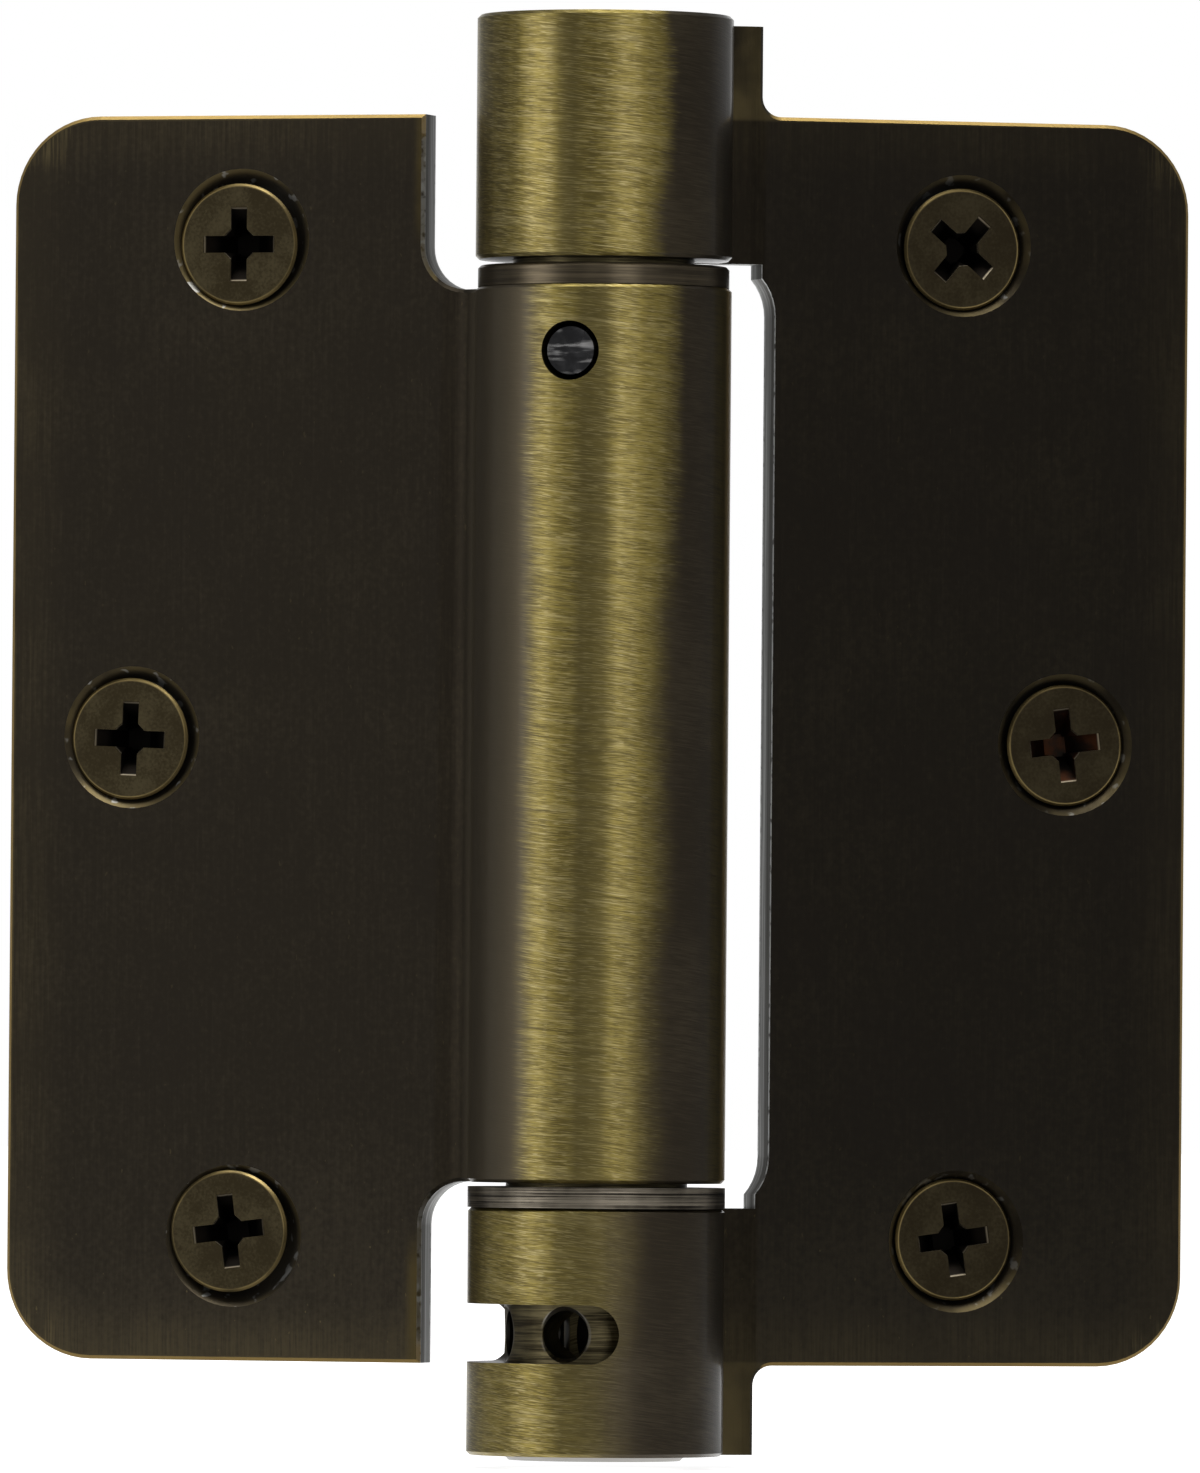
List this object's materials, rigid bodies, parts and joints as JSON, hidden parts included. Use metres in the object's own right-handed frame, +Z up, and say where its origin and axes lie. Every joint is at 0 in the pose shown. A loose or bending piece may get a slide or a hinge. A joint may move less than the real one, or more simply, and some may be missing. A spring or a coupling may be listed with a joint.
{
  "type": "spring hinge",
  "caption": "Self-closing door hinge: two flat round-cornered leaves rolled round a thick barrel that holds a spring, with a slotted lower knuckle for winding it up.",
  "frame": {"origin": "on the swing axis at half the height of the leaves", "axes": "+Z up along the swing axis towards the plain knuckle, +X along the leaf with two knuckles, its countersunk face towards -Y; the other leaf is turned 35 degrees back past flat"},
  "size_m": [0.0801, 0.046, 0.1024],
  "materials": {
    "leaf_plating": "steel plated antique brass, dark and brushed",
    "screw_plating": "steel plated antique brass, dark",
    "core_plating": "turned steel, thinly plated antique brass",
    "ring_steel": "turned steel, oiled dark",
    "washer_steel": "stamped steel, bare and stained",
    "plug_steel": "turned steel, bare",
    "dark_pin": "hardened steel, black oxide, glossy",
    "spring_steel": "oil-tempered spring wire"
  },
  "bodies": {
    "knuckle_leaf": {"knuckle_leaf": "leaf_plating", "thrust_washer_1": "washer_steel", "thrust_washer_2": "washer_steel", "thrust_washer_3": "washer_steel", "thrust_washer_4": "washer_steel", "end_plug": "plug_steel", "knuckle_top_screw": "screw_plating", "knuckle_middle_screw": "screw_plating", "knuckle_bottom_screw": "screw_plating"},
    "barrel_leaf": {"barrel_leaf": "leaf_plating", "pivot_plug": "core_plating", "anchor_pin": "dark_pin", "bearing_ring": "ring_steel", "torsion_spring": "spring_steel", "barrel_top_screw": "screw_plating", "barrel_middle_screw": "screw_plating", "barrel_bottom_screw": "screw_plating"},
    "adjuster": {"tension_adjuster": "core_plating"}
  },
  "joints": [
    {"name": "leaf_swing", "type": "hinge", "parent": "knuckle_leaf", "child": "barrel_leaf", "pos_m": [0, 0, 0], "axis": [0, 0, 1], "range_deg": [-55, 214.9]},
    {"name": "spring_winding", "type": "hinge", "parent": "barrel_leaf", "child": "adjuster", "pos_m": [0, 0, -0.0422], "axis": [0, 0, 1], "range_deg": [0, 270], "stiffness_Nm_per_rad": 1.2, "deforming": ["torsion_spring"]}
  ]
}
